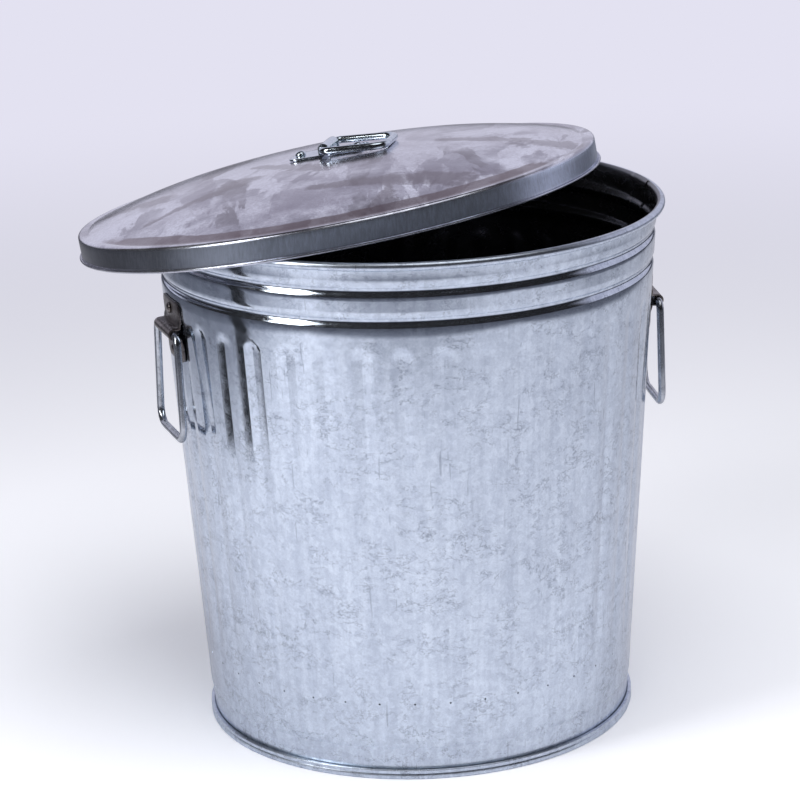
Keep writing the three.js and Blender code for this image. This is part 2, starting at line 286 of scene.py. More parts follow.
def metal(tree, looks, base, rough, height):
    bump = node(tree, "ShaderNodeBump", {"Strength": looks["bump"], "Distance": bumpHeight,
                                         "Height": height})
    surface = node(tree, "ShaderNodeBsdfPrincipled",
                   {"Base Color": base, "Metallic": looks["metallic"], "Roughness": rough,
                    "Normal": bump.outputs[0]})
    node(tree, "ShaderNodeOutputMaterial", {"Surface": surface.outputs[0]})


bumpHeight = 0.1 * mm
# noises are given as scale, detail, roughness and distortion
zincLooks = {
    "light": (0.79, 0.87, 0.97, 1),
    "dark": (0.50, 0.56, 0.66, 1),
    "scratch": (0.24, 0.27, 0.33, 1),
    # painted shade: the inner face of the wall is drawn dark, as the shaded inside of the can
    "inside": (0.20, 0.205, 0.22, 1),
    # painted shade: the pits of the punch marks are drawn near black
    "pitShade": (0.03, 0.03, 0.03, 1),
    "rough": 0.10,
    "roughSpread": (0.05, -0.03),   # dull and shiny mottles
    "mottled": (0.35, 0.65),
    "worn": 0.30,                   # roughness where the sheet is scuffed
    "metallic": 0.97,
    "bump": 0.06,
    "crystals": 210.0,
    "crystalHeight": 0.3,
    "grain": (520.0, 5.0, 0.7),
    "mottle": (150.0, 6.0, 0.7, 0.4),
    "cloud": (9.0, 5.0, 0.6, 0.4),
    "streak": (150.0, 4.0, 0.65),
    "streakStretch": (1.0, 1.0, 0.03),
    "shares": {"grain": 0.32, "crystals": 0.08, "mottle": 0.20, "cloud": 0.14, "streak": 0.28},
    "shade": (0.34, 0.72),          # from all dark to all light
    "scratches": {
        "fine": {"stretch": (1.0, 1.0, 1.6), "scale": 60.0, "width": 0.016, "patches": 38.0,
                 "gathered": (0.46, 0.60), "strength": 0.65},
        "broad": {"stretch": (1.0, 1.0, 1.3), "scale": 26.0, "width": 0.010, "patches": 22.0,
                  "gathered": (0.48, 0.62), "strength": 0.7},
    },
    "scratchNoise": (9.0, 0.68, 0.3),
    "patchNoise": (3.0, 0.6),
    "scratchRough": 0.10,
    "lines": {"stretch": (1.0, 1.0, 0.012), "noise": (420.0, 1.0, 0.5), "shown": (0.69, 0.74),
              "patchStretch": (1.0, 1.0, 0.3), "patches": 24.0, "gathered": (0.48, 0.60),
              "strength": 0.5},
}
baseLooks = {**zincLooks, "rough": 0.30}


def scratches(tree, place, looks, kind):
    # thin feathery lines where a noise crosses its middle, gathered in patches
    place = stretched(tree, place, kind["stretch"])
    torn = noise(tree, place, kind["scale"], *looks["scratchNoise"])
    away = reckon(tree, "ABSOLUTE", reckon(tree, "SUBTRACT", torn, 0.5), 0.0)
    line = between(tree, away, kind["width"] * 0.3, kind["width"], 1.0, 0.0)
    patches = noise(tree, place, kind["patches"], *looks["patchNoise"])
    return times(tree, line, between(tree, patches, *kind["gathered"]))


def uprightLines(tree, place, lines):
    thin = noise(tree, stretched(tree, place, lines["stretch"]), *lines["noise"])
    patches = noise(tree, stretched(tree, place, lines["patchStretch"]), lines["patches"])
    return times(tree, between(tree, thin, *lines["shown"]), between(tree, patches, *lines["gathered"]))


def zincSheet(name, looks):
    # spangled zinc: fine grain, feathery dark scratches, upright streaks and lines, faint stains, and
    # painted shade inside the can and in the punch marks
    finish, tree = newFinish(name)
    place = node(tree, "ShaderNodeTexCoord").outputs["Object"]
    crystals = node(tree, "ShaderNodeTexVoronoi", {"Vector": place, "Scale": looks["crystals"]})
    layers = {
        "grain": noise(tree, place, *looks["grain"]),
        "crystals": node(tree, "ShaderNodeSeparateColor", {0: crystals.outputs["Color"]}).outputs[0],
        "mottle": noise(tree, place, *looks["mottle"]),
        "cloud": noise(tree, place, *looks["cloud"]),
        "streak": noise(tree, stretched(tree, place, looks["streakStretch"]), *looks["streak"]),
    }
    shade = total(tree, [(layers[key], share) for key, share in looks["shares"].items()])
    base = colour(tree, between(tree, shade, *looks["shade"]), looks["dark"], looks["light"])
    marks = {}
    for key, kind in looks["scratches"].items():
        marks[key] = scratches(tree, place, looks, kind)
        base = colour(tree, times(tree, marks[key], kind["strength"]), base, looks["scratch"])
    lines = uprightLines(tree, place, looks["lines"])
    base = colour(tree, times(tree, lines, looks["lines"]["strength"]), base, looks["scratch"])
    # painted shade inside the can and in the punch marks
    for key in ("inside", "pitShade"):
        base = colour(tree, attribute(tree, key), base, looks[key])
    dull, shiny = (looks["rough"] + spread for spread in looks["roughSpread"])
    rough = between(tree, layers["mottle"], *looks["mottled"], dull, shiny)
    rough = number(tree, attribute(tree, "worn"), rough, looks["worn"])
    rough = plus(tree, rough, times(tree, marks["fine"], looks["scratchRough"]))
    height = plus(tree, layers["mottle"], times(tree, layers["crystals"], looks["crystalHeight"]))
    metal(tree, looks, base, rough, height)
    return finish


wireLooks = {
    "light": (0.62, 0.65, 0.70, 1),
    "dark": (0.30, 0.32, 0.35, 1),
    "rough": 0.18,
    "duller": 0.12,       # added to the roughness of its dull mottles
    "metallic": 1.0,
    "bump": 0.08,
    "mottle": (160.0, 6.0, 0.65, 0.5),
    "cloud": (24.0, 3.0, 0.5),
    "shares": (0.6, 0.4),
    "shade": (0.3, 0.7),
}
strapLooks = {
    **wireLooks,
    "light": (0.26, 0.235, 0.225, 1),
    "dark": (0.07, 0.055, 0.05, 1),
    "rough": 0.24,
}
brightLooks = {
    **wireLooks,
    "light": (0.84, 0.92, 0.98, 1),
    "dark": (0.52, 0.60, 0.68, 1),
    "rough": 0.10,
}


def plainZinc(name, looks):
    finish, tree = newFinish(name)
    place = node(tree, "ShaderNodeTexCoord").outputs["Object"]
    mottle = noise(tree, place, *looks["mottle"])
    cloud = noise(tree, place, *looks["cloud"])
    shade = between(tree, total(tree, zip((mottle, cloud), looks["shares"])), *looks["shade"])
    base = colour(tree, shade, looks["dark"], looks["light"])
    rough = between(tree, mottle, *looks["shade"], looks["rough"] + looks["duller"], looks["rough"])
    metal(tree, looks, base, rough, mottle)
    return finish


lidLooks = {
    "light": (0.90, 0.92, 1.0, 1),
    "dark": (0.56, 0.55, 0.62, 1),
    "grain": (420.0, 6.0, 0.7, 0.3),
    "cloud": (14.0, 7.0, 0.66, 0.8),
    "shares": (0.45, 0.55),
    "shade": (0.36, 0.62),
    "smears": (                 # turn, scale, how much is left clean, colour, strength
        (38, 17.0, 0.510, (0.23, 0.215, 0.27, 1), 0.70),
        (-20, 13.0, 0.520, (0.28, 0.26, 0.32, 1), 0.70),
        (70, 21.0, 0.575, (0.15, 0.13, 0.16, 1), 0.74),
    ),
    "smearStretch": (1.0, 0.30, 1.0),
    "smearNoise": (7.0, 0.60, 0.5),
    "smearEdge": (-0.012, 0.02),
    "smearFade": (0.38, 0.60),
    "fadeNoise": (4.0, 0.6),
    "streak": (0.12, 0.09, 0.11, 1),
    "streakTorn": (60.0, 6.0, 0.7),
    "streakRagged": 1.7,
    "streakShown": (1.15, 1.50),
    "streakStrength": 0.6,
    "frontTint": (0.12, 0.07, 0.075, 1),
    "frontTintRagged": 0.9,
    "frontTintShown": (0.95, 1.12),
    "frontTintStrength": 0.70,
    "skirt": (0.72, 0.81, 0.97, 1),
    "skirtShade": (0.24, 0.25, 0.28, 1),
    "skirtShadeFrom": (-0.20, 0.0),   # painted shade: the skirt is drawn darker towards its low side
    "brushed": (520.0, 5.0, 0.8),
    "brushedStretch": (1.0, 1.0, 0.2),
    "brushedCloud": (12.0, 3.0, 0.5),
    "brushedShares": (0.5, 0.5),
    "brushedShade": (0.36, 0.64, 0.62, 1.0),
    "rough": 0.17,
    "skirtRough": 0.30,
    "metallic": 0.93,
    "bump": 0.06,
}


def smearMask(tree, place, looks, turn, size, clean, strength):
    turned = node(tree, "ShaderNodeMapping",
                  {"Vector": place, "Location": (size, turn * 0.1, 0.0),
                   "Rotation": (0, 0, math.radians(turn)), "Scale": looks["smearStretch"]}).outputs[0]
    wipes = noise(tree, turned, size, *looks["smearNoise"])
    inner, outer = looks["smearEdge"]
    mask = between(tree, wipes, clean + inner, clean + outer)
    patches = noise(tree, place, 11.0 + size * 0.2, *looks["fadeNoise"])
    fade = between(tree, patches, *looks["smearFade"])
    return times(tree, times(tree, mask, fade), strength)


def lidSheet(name, looks):
    # handled zinc: crisp-edged wipes and smears over a fine grain, a brown tint at the front, and
    # painted shade on the skirt's low side
    finish, tree = newFinish(name)
    place = node(tree, "ShaderNodeTexCoord").outputs["Object"]
    skirt = attribute(tree, "skirt")
    grain = noise(tree, place, *looks["grain"])
    cloud = noise(tree, place, *looks["cloud"])
    shade = between(tree, total(tree, zip((grain, cloud), looks["shares"])), *looks["shade"])
    base = colour(tree, shade, looks["dark"], looks["light"])
    for turn, size, clean, smear, strength in looks["smears"]:
        base = colour(tree, smearMask(tree, place, looks, turn, size, clean, strength), base, smear)
    ragged = plus(tree, attribute(tree, "frontTint"), times(tree, cloud, looks["frontTintRagged"]))
    tinted = between(tree, ragged, *looks["frontTintShown"])
    base = colour(tree, times(tree, tinted, looks["frontTintStrength"]), base, looks["frontTint"])
    torn = times(tree, noise(tree, place, *looks["streakTorn"]), looks["streakRagged"])
    streaked = between(tree, plus(tree, attribute(tree, "streak"), torn), *looks["streakShown"])
    base = colour(tree, times(tree, streaked, looks["streakStrength"]), base, looks["streak"])
    brushed = noise(tree, stretched(tree, place, looks["brushedStretch"]), *looks["brushed"])
    brushedCloud = noise(tree, place, *looks["brushedCloud"])
    brushed = total(tree, zip((brushed, brushedCloud), looks["brushedShares"]))
    brushed = between(tree, brushed, *looks["brushedShade"])
    along = node(tree, "ShaderNodeSeparateXYZ", {0: place}).outputs["X"]
    # painted shade on the skirt's low side
    side = colour(tree, between(tree, along, *looks["skirtShadeFrom"]), looks["skirtShade"], looks["skirt"])
    side = colour(tree, brushed, (0, 0, 0, 1), side)
    base = colour(tree, skirt, base, side)
    metal(tree, looks, base, number(tree, skirt, looks["rough"], looks["skirtRough"]), grain)
    return finish


zincOnWall = zincSheet("spangledZinc", zincLooks)
zincOnBase = zincSheet("scuffedZinc", baseLooks)
zincOnWire = plainZinc("wireZinc", wireLooks)
zincOnStrap = plainZinc("strapZinc", strapLooks)
zincOnHandle = plainZinc("brightZinc", brightLooks)
zincOnLid = lidSheet("smudgedZinc", lidLooks)
print("finishes made")


# the can's wall is one sheet: drawn as an outline, spun, fluted and thickened
wall = {
    "columns": 440,          # eleven to each flute
    "sheet": 0.8,
    "footRadius": 173.5,     # the cone's outer radius at floor level
    "slope": 0.06709,
    "foot": 1.3,             # lower edge, inside the base ring
    "tuck": 1.0,             # how far the wall is drawn in above the base
    "tuckHeight": 28.0,
    "tuckEase": (2.6, 0.6),  # where the tuck ends, below and above its height
    "lineHeight": 16.0,      # a faint raised line round the foot
    "lineOut": 0.2,
    # heights of the edge loops below the flutes
    "loops": (5, 9, 13, 15.2, 16, 16.8, 20, 25.5, 26.7, 28, 29.2, 31, 38, 46, 54, 60),
    "fluteCount": 40,
    "fluteTurn": 1.2,        # azimuth of a flute's middle, degrees
    "fluteLow": 69.0,
    "fluteHigh": 356.0,
    "fluteHalf": 8.8,
    "fluteDepth": 1.12,
    "fluteRunOut": 34.0,     # a flute fades in over this height at its lower end
    "fluteFine": (10, 1.7),  # near a flute's ends the edge loops are this close
    "fluteCoarse": 12,
    "creaseFrom": 30.0,      # a flute's edges are sharp from here up
    "creaseNear": (0.4, 0.9),
    "grooves": (379.5, 403.5),
    "grooveHalf": 5.2,
    "grooveDepth": 2.4,
    "grooveStep": 1.3,
    "rimRadius": 205.0,
    "rimHeight": 423.6,
    "rollInside": 2.5,
    "rollEnd": -110.0,
    "rollSteps": 16,
    "lapStart": 14.7,        # azimuth of the inner edge of the side seam
    "lapWidth": 9.0,
    "lapStep": 0.8,
    "lapEdge": 0.12,         # degrees in which the seam's edge steps up
    "markHeight": 64.0,      # small punch marks below the flutes
    "markRadius": 0.95,
    "markDepth": 0.7,
    "markInset": 0.3,
    "waves": 0.5,            # how uneven the sheet is, and over what length
    "waveSize": 85,
    "waveShare": 0.9,
    "waveTop": 415.0,
    "wornInside": 0.7,
}


def wallRadius(height):
    return wall["footRadius"] + wall["slope"] * height


def wallOutline():
    low, high, half = wall["fluteLow"], wall["fluteHigh"], wall["grooveHalf"]
    first, second = wall["grooves"]
    middle = (first + second) / 2
    reach, fine = wall["fluteFine"]
    heights = [wall["foot"], *wall["loops"], wall["markHeight"]]
    heights += evenly(low, low + reach, fine)
    heights += evenly(low + reach + 3, high - reach - 3, wall["fluteCoarse"])
    heights += evenly(high - reach, high, fine) + [high + 4, high + reach]
    heights += evenly(first - half, first + half, wall["grooveStep"]) + [middle - 4, middle + 4]
    heights += evenly(second - half, second + half, wall["grooveStep"]) + [second + 9, second + 14]
    below, above = wall["tuckEase"]
    outline = []
    for height in heights:
        radius = wallRadius(height)
        free = softStep(wall["tuckHeight"] - below, wall["tuckHeight"] + above, height)
        radius -= wall["tuck"] * (1 - free)
        if abs(height - wall["lineHeight"]) < tiny:
            radius += wall["lineOut"]
        for groove in wall["grooves"]:
            away = min(abs(height - groove) / half, 1.0)
            radius -= wall["grooveDepth"] * (1 + math.cos(math.pi * away)) / 2
        outline.append((radius, height))
    centre = (wall["rimRadius"], wall["rimHeight"])
    return outline + arc(centre, wall["rollInside"], 180, wall["rollEnd"], wall["rollSteps"])


def fluteSide(place):
    # how far a point lies sideways from the middle of its flute
    pitch = 360 / wall["fluteCount"]
    azimuth = math.degrees(math.atan2(place.y, place.x))
    sideways = (azimuth + pitch / 2) % pitch - pitch / 2
    return math.hypot(place.x, place.y) / mm * math.radians(sideways)


def fluteWeight(place, normal):
    # a shallow creased channel, deepest along its middle, with flat sides up to its round end
    height, half = place.z / mm, wall["fluteHalf"]
    beyond = min(max(height - (wall["fluteHigh"] - half), 0.0) / half, 1.0)
    width = math.sqrt(1 - beyond * beyond)
    grown = softStep(wall["fluteLow"] - 10, wall["fluteLow"] + wall["fluteRunOut"], height)
    return grown * max(width - abs(fluteSide(place)) / half, 0.0)


def punchMarks(piece):
    # a small pit under each flute: the point is cut open and its face pushed in
    edit(piece)
    selectPoints(piece, lambda place, normal: abs(place.z / mm - wall["markHeight"]) < tiny
                 and abs(fluteSide(place)) < tiny)
    bpy.ops.mesh.bevel(offset=wall["markRadius"] * mm, affect="VERTICES", segments=1)
    bpy.ops.mesh.select_mode(type="FACE")
    done()
    for face in piece.data.polygons:
        middle = face.center
        near = abs(middle.z / mm - wall["markHeight"]) < 2 * tiny and abs(fluteSide(middle)) < 2 * tiny
        face.select = near and face.area < (2.2 * wall["markRadius"] * mm) ** 2
    bpy.ops.object.mode_set(mode="EDIT")
    bpy.ops.mesh.inset(thickness=wall["markInset"] * mm, depth=-wall["markDepth"] * mm,
                       use_individual=True)
    done()


def creaseFlutes(piece):
    # the flutes' edges and middles are drawn sharply
    half = wall["fluteHalf"]
    nearMiddle, nearSide = wall["creaseNear"]
    edit(piece, "EDGE")
    done()
    points = piece.data.vertices
    for edge in piece.data.edges:
        first, second = (points[index].co for index in edge.vertices)
        upright = abs(first.z - second.z) > 4 * (first.xy - second.xy).length
        height = (first.z + second.z) / 2 / mm
        along = wall["fluteLow"] + wall["creaseFrom"] < height < wall["fluteHigh"] - half / 2
        side = abs(fluteSide((first + second) / 2))
        edge.select = upright and along and (side < nearMiddle or abs(side - half) < nearSide)
    bpy.ops.object.mode_set(mode="EDIT")
    bpy.ops.mesh.mark_sharp()
    done()


def markSurface(piece, name, valueAt):
    # a value at each point, which the finish reads
    values = piece.data.attributes.new(name, "FLOAT", "POINT")
    for index, vertex in enumerate(piece.data.vertices):
        values.data[index].value = valueAt(vertex.co, vertex.normal)


def isInside(place, normal):
    return 1.0 if normal.dot(Vector((place.x, place.y, 0))) < 0 else 0.0


def wornAt(place, normal):
    # the rim, the part below the tuck and the inside are scuffed dull
    height = place.z / mm
    if height < wall["rimHeight"] - 5 and isInside(place, normal):
        return wall["wornInside"]
    foot = softStep(wall["markHeight"] - 6, wall["tuckHeight"] - 12, height)
    return max(foot, softStep(wall["rimHeight"] - 5, wall["rimHeight"] - 1, height))


def pitShadeAt(place, normal):
    # painted shade in the punch marks
    deep = wallRadius(wall["markHeight"]) - math.hypot(place.x, place.y) / mm > wall["markDepth"] / 2
    near = abs(place.z / mm - wall["markHeight"]) < wall["markRadius"] * 0.8
    outside = normal.dot(Vector((place.x, place.y, 0))) > 0
    under = abs(fluteSide(place)) < wall["markRadius"]
    return 1.0 if deep and near and outside and under else 0.0


def lapWeight(place, normal):
    # the inner end of the sheet laps over the outer one
    azimuth = math.degrees(math.atan2(place.y, place.x)) + wall["fluteTurn"]
    within = wall["lapStart"] < azimuth < wall["lapStart"] + wall["lapWidth"]
    return isInside(place, normal) if within and place.z > (wall["tuckHeight"] + 2) * mm else 0.0


def makeWall():
    piece = drawOutline("canWall", wallOutline())
    spinRound(piece, wall["columns"])
    faceAway(piece, Vector((wallRadius(200) * mm, 0, 200 * mm)))
    for edge in (wall["lapStart"], wall["lapStart"] - wall["lapEdge"]):
        # a pair of close columns where the seam's edge lies
        edit(piece)
        selectPoints(piece, lambda place, normal: place.x > 0 and place.y > 0)
        across = unit(edge - wall["fluteTurn"] + 90)
        bpy.ops.mesh.bisect(plane_co=(0, 0, 0), plane_no=across)
        done()
    push(piece, "flutes", -wall["fluteDepth"] * mm, fluteWeight)
    punchMarks(piece)
    push(piece, "unevenSheet", wall["waves"] * mm,
         lambda place, normal: wall["waveShare"] if place.z < wall["waveTop"] * mm else 0.0,
         texture=unevenness("sheetWaves", wall["waveSize"]), texture_coords="LOCAL", mid_level=0.5)
    thicken(piece, wall["sheet"])
    push(piece, "lap", wall["lapStep"] * mm, lapWeight)
    markSurface(piece, "worn", wornAt)
    # painted shade inside the can and in the punch marks, read by the finish
    markSurface(piece, "inside", isInside)
    markSurface(piece, "pitShade", pitShadeAt)
    shadeSmooth(piece, 40)
    creaseFlutes(piece)
    turn = Matrix.Rotation(math.radians(wall["fluteTurn"]), 4, "Z")
    settle(piece, Matrix.Translation(canAxis) @ turn)
    return piece


canWall = makeWall()
handOver(canWall, "can", "zinc_sheet", zincOnWall, "body_shell")
print("wall:", len(canWall.data.vertices), "points")


# a raised floor and the folded ring that the can stands on
base = {
    "columns": 240,
    "rise": 7.0,
    "sheet": 0.9,
    "rings": (60, 120),      # edge loops of the raised floor
    "sag": 0.3,              # at the outer one
    "bends": (2, 3),         # from the floor into the flange, under and above the sheet
    "ringRadius": 176.6,
    "ringHeight": 8.0,
    "ringCorner": 0.9,
    "foldAt": 0.56,          # where the ring's folds meet, as a share of its height
    "foldHalf": 1.1,
    "foldDip": 0.55,         # the shallow line round the ring between its folds
    "topCorner": 0.6,
    "flangeGap": 1.2,        # from the outside of the wall to the flange
    "wallGap": 0.45,
}


def baseOutline():
    ring, corner, top = base["ringRadius"], base["ringCorner"], base["ringHeight"]
    rise, sheet, small = base["rise"], base["sheet"], base["topCorner"]
    inner, outer = base["rings"]
    under, above = base["bends"]
    flangeOut = wallRadius(base["foldHalf"]) - wall["tuck"] - base["flangeGap"]
    flangeIn = flangeOut - sheet
    foldIn = wallRadius(top) - wall["tuck"] + base["wallGap"]
    fold = top * base["foldAt"]
    outline = [(0, rise), (inner, rise), (outer, rise - base["sag"]), (flangeIn - under - 1, rise)]
    outline += arc((flangeIn - under, rise - under), under, 90, 0, 5)[1:]
    outline += arc((flangeIn + corner, corner), corner, 180, 270, 4)
    outline += arc((ring - corner, corner), corner, 270, 360, 5)
    outline += [(ring, fold - base["foldHalf"]), (ring - base["foldDip"], fold),
                (ring, fold + base["foldHalf"])]
    outline += arc((ring - corner, top - corner), corner, 0, 90, 5)
    outline += arc((foldIn + small, top - small), small, 90, 180, 3)
    outline += [(foldIn, sheet), (flangeOut, sheet), (flangeOut, rise - under)]
    outline += arc((flangeOut - above, rise + sheet - above), above, 0, 90, 5)
    outline += [(outer, rise + sheet - base["sag"]), (inner, rise + sheet), (0, rise + sheet)]
    return outline


def makeBase():
    piece = drawOutline("basePan", baseOutline())
    spinRound(piece, base["columns"])
    shadeSmooth(piece, 35)
    settle(piece, Matrix.Translation(canAxis))
    return piece


basePan = makeBase()
handOver(basePan, "can", "zinc_sheet", zincOnBase, "base_pan")
print("base:", len(basePan.data.vertices), "points")


# a domed pan with an upright skirt and a rolled hem, lying askew
lid = {
    "columns": 420,
    "sheet": 0.7,
    "skirtRadius": 212.46,
    "height": 19.0,
    "dome": 23.92,
    "domePower": 2.6,
    "domeRadius": 204.0,
    "corner": 3.0,
    "hemInside": 0.75,
    "hemRadius": 213.2,
    "hemTurn": 216,
    "hemShare": 0.4,      # how much of the skirt's finish its hem has
    "loops": 6.5,         # distance of the edge loops on the dome
    "skirtLoops": (13, 9.5, 6, 2.5),
    "dents": 0.7,
    "dentSize": 120,
    "dentedTo": (185, 203),
    "skirtWaves": 0.20,
    "skirtWaveSize": 60,
    "wavySkirt": (5, 14),
    "shift": 57.9,        # off the can's axis, along this azimuth
    "azimuth": 159.2,
    "lift": 419.931,
    "tilt": 9.720,
    "frontTintAzimuth": 290.0,  # in the lid's own turn
    "streaks": (            # from, to, width at the middle
        ((-96, -150), (-37, -74), 16),
        ((-190, -60), (-120, -80), 20),
        ((95, 14), (190, 24), 22),
        ((40, -120), (150, -95), 22),
        ((-60, -20), (20, -60), 20),
        ((104, -120), (118, -172), 16),
    ),
}

turnedAway = Matrix.Rotation(math.radians(lid["azimuth"] - 180), 4, "Z")
shifted = Matrix.Translation((-lid["shift"] * mm, 0, lid["lift"] * mm))
tipped = Matrix.Rotation(math.radians(-lid["tilt"]), 4, "Y")
lidPlace = Matrix.Translation(canAxis) @ turnedAway @ shifted @ tipped


def lidTop(radius):
    share = min(radius / lid["domeRadius"], 1.0)
    return lid["height"] + lid["dome"] * (1 - share ** lid["domePower"])


def lidOutline():
    shoulder = lid["domeRadius"]
    outline = [(radius, lidTop(radius)) for radius in evenly(0, shoulder - 2, lid["loops"])]
    outline += [(shoulder - 0.8, lidTop(shoulder - 0.8)), (shoulder + 0.3, lid["height"] - 0.05),
                (shoulder + 2, lid["height"]), (shoulder + 4.5, lid["height"])]
    centre = (lid["skirtRadius"] - lid["corner"], lid["height"] - lid["corner"])
    outline += arc(centre, lid["corner"], 90, 0, 8)
    outline += [(lid["skirtRadius"], height) for height in lid["skirtLoops"]]
    outline += arc((lid["hemRadius"], 0), lid["hemInside"], 180, 180 + lid["hemTurn"], 12)
    return outline


def skirtAt(place, normal):
    # one on the skirt, less on its hem, none on the top
    height = place.z / mm
    if math.hypot(place.x, place.y) / mm < lid["domeRadius"] + 4:
        return 0.0
    if height < 2 * lid["hemInside"]:
        return lid["hemShare"]
    return 1 - softStep(lid["height"] - lid["corner"], lid["height"] - 0.6, height)


def frontTintAt(place, normal):
    # a brown tint, strongest along the dome's front edge
    facing = unit(lid["frontTintAzimuth"]).dot(Vector((place.x, place.y, 0)).normalized())
    radius = math.hypot(place.x, place.y) / mm
    near = softStep(lid["domeRadius"] - 20, lid["domeRadius"] - 5, radius)
    pastShoulder = softStep(lid["domeRadius"] + 1, lid["domeRadius"] + 4.5, radius)
    return softStep(0.1, 0.85, facing) * near * (1 - pastShoulder)


def streakAt(place, normal):
    # long wipes, fading from their middle line
    strongest = 0.0
    spot = Vector((place.x, place.y, 0)) / mm
    for start, end, width in lid["streaks"]:
        first = Vector((*start, 0))
        along = Vector((*end, 0)) - first
        share = min(max((spot - first).dot(along) / along.length_squared, 0.0), 1.0)
        away = (spot - first - along * share).length
        strongest = max(strongest, 1 - away / (width * (0.5 + share)))
    return strongest * 0.9 if place.z / mm > lid["height"] else 0.0


def makeLid():
    piece = drawOutline("lidPan", lidOutline())
    spinRound(piece, lid["columns"])
    faceAway(piece, Vector((lid["skirtRadius"] * mm, 0, 9 * mm)))
    push(piece, "dents", lid["dents"] * mm,
         lambda place, normal: 1 - softStep(*lid["dentedTo"], math.hypot(place.x, place.y) / mm),
         texture=unevenness("lidWaves", lid["dentSize"]), texture_coords="LOCAL", mid_level=0.5)
    low, high = lid["wavySkirt"]
    push(piece, "skirtWaves", lid["skirtWaves"] * mm,
         lambda place, normal: 1.0 if low * mm < place.z < high * mm else 0.0,
         texture=unevenness("skirtUneven", lid["skirtWaveSize"]), texture_coords="LOCAL", mid_level=0.5)
    thicken(piece, lid["sheet"])
    markSurface(piece, "skirt", skirtAt)
    markSurface(piece, "frontTint", frontTintAt)
    markSurface(piece, "streak", streakAt)
    shadeSmooth(piece, 40)
    settle(piece, lidPlace)
    return piece


lidPan = makeLid()
handOver(lidPan, "lid", "lid_sheet", zincOnLid, "lid_pan")
print("lid:", len(lidPan.data.vertices), "points")


# bent wire, straps with a hump, rivets and washers
wire = {
    "radius": 3.0,
    "sides": 20,
    "topBend": 6.5,
    "bendSteps": 7,
    "runs": 3,         # edge loops on a straight part
    "start": 0.6,      # the bar is drawn from here, near its middle
}
strap = {
    "sheet": 1.4,
    "room": 3.3,       # inside radius of the hump
    "corner": 7.5,
    "cuts": (18, 45, 72),
    "parts": 14,
    "loops": 1.6,
    "foot": 1.1,       # radius from the flat part into the hump
    "flatFrom": (1.5, 7),
    "standoff": 5.6,   # height of the bar above the seat
    "seat": 0.35,
    "bevel": 0.35,
}
rivet = {
    "columns": 36,
    "head": 4.4,
    "headTurns": (78, 66, 54, 42, 30, 18, 8, 0),
    "edge": 0.25,
    "headGap": 0.3,
    "shank": 2.0,
    "past": 1.4,       # how far the shank goes past the sheet
    "tail": ((3.4, 0), (3.6, -0.2), (3.2, -0.8), (2.2, -1.2), (0, -1.3)),  # clenched end: out, down
    "wide": 5.2,       # what its washer covers
}
washer = {
    "columns": 36,
    "gap": 0.3,
    "outline": ((2.4, 0), (4.9, 0), (5.15, -0.2), (5.15, -0.6), (4.9, -0.8), (2.4, -0.8), (2.4, 0)),
}
sideHandle = {
    "barHalf": 29.4,
    "footHalf": 34.9,
    "drop": 84.8,
    "footBend": 13.0,
    "strapHalf": 25.0,
    "strapWide": 44.0,
    "rivetReach": 17.0,
    "rivetHead": 2.2,
    "overFlute": 0.1,  # room between washer and sheet, in a flute and beside it
    "overSheet": 0.3,
    "left": {"azimuth": 202.0, "height": 345.0},
    "right": {"azimuth": 10.5, "height": 336.0},
}
lidHandle = {
    "barHalf": 27.0,
    "footHalf": 25.0,
    "drop": 52.0,
    "footBend": 11.0,
    "strapHalf": 31.0,
    "strapWide": 36.0,
    "rivetReach": 24.0,
    "rivetHead": 3.6,
    "turn": -8.5,
    "lying": 0.45,     # room between the bail's end and the dome
}


def seatMatrix(across, along, out, place):
    matrix = Matrix((across, along, out)).transposed().to_4x4()
    matrix.translation = place
    return matrix


def bendAt(before, at, after, bend):
    # where a bend starts and ends, its centre and its angle
    into = (at - before).normalized()
    out = (after - at).normalized()
    turn = into.angle(out)
    radius = bend / math.tan(turn / 2)
    inward = (out - into).normalized()
    centre = at + inward * (radius / math.cos(turn / 2))
    return at - into * bend, at + out * bend, centre, turn, out.cross(into).normalized()


def makeBail(name, sizes):
    # wire loop in the XY plane: bar along X through the origin, legs towards -Y
    bar, foot, drop = sizes["barHalf"], sizes["footHalf"], sizes["drop"]
    near = wire["start"]
    corners = [Vector(p) * mm for p in ((near, 0, 0), (bar, 0, 0), (foot, -drop, 0),
                                        (-foot, -drop, 0), (-bar, 0, 0), (-near, 0, 0))]
    bends = [wire["topBend"], sizes["footBend"], sizes["footBend"], wire["topBend"]]
    deselectAll()
    bpy.ops.mesh.primitive_circle_add(vertices=wire["sides"], radius=wire["radius"] * mm,
                                      location=corners[0], rotation=(0, math.pi / 2, 0))
    piece = nameIt(bpy.context.object, name)
    bpy.ops.object.transform_apply(location=True, rotation=True, scale=True)
    bpy.ops.object.mode_set(mode="EDIT")
    bpy.ops.mesh.select_mode(type="VERT")
    bpy.ops.mesh.select_all(action="SELECT")
    at = corners[0]
    for before, middle, after, bend in zip(corners, corners[1:], corners[2:], bends):
        start, end, centre, turn, axis = bendAt(before, middle, after, bend * mm)
        run = (start - at) / wire["runs"]
        for part in range(wire["runs"]):
            bpy.ops.mesh.extrude_region_move(TRANSFORM_OT_translate={"value": run})
        bpy.ops.mesh.spin(steps=wire["bendSteps"], angle=turn, center=centre, axis=axis)
        at = end
    bpy.ops.mesh.extrude_region_move(TRANSFORM_OT_translate={"value": corners[-1] - at})
    bpy.ops.mesh.select_all(action="SELECT")
    bpy.ops.mesh.remove_doubles(threshold=closePoints)
    done()
    edit(piece, "EDGE")
    bpy.ops.mesh.select_non_manifold()
    bpy.ops.mesh.edge_face_add()
    bpy.ops.mesh.select_all(action="SELECT")
    bpy.ops.mesh.normals_make_consistent(inside=False)
    done()
    shadeSmooth(piece, 60)
    return piece


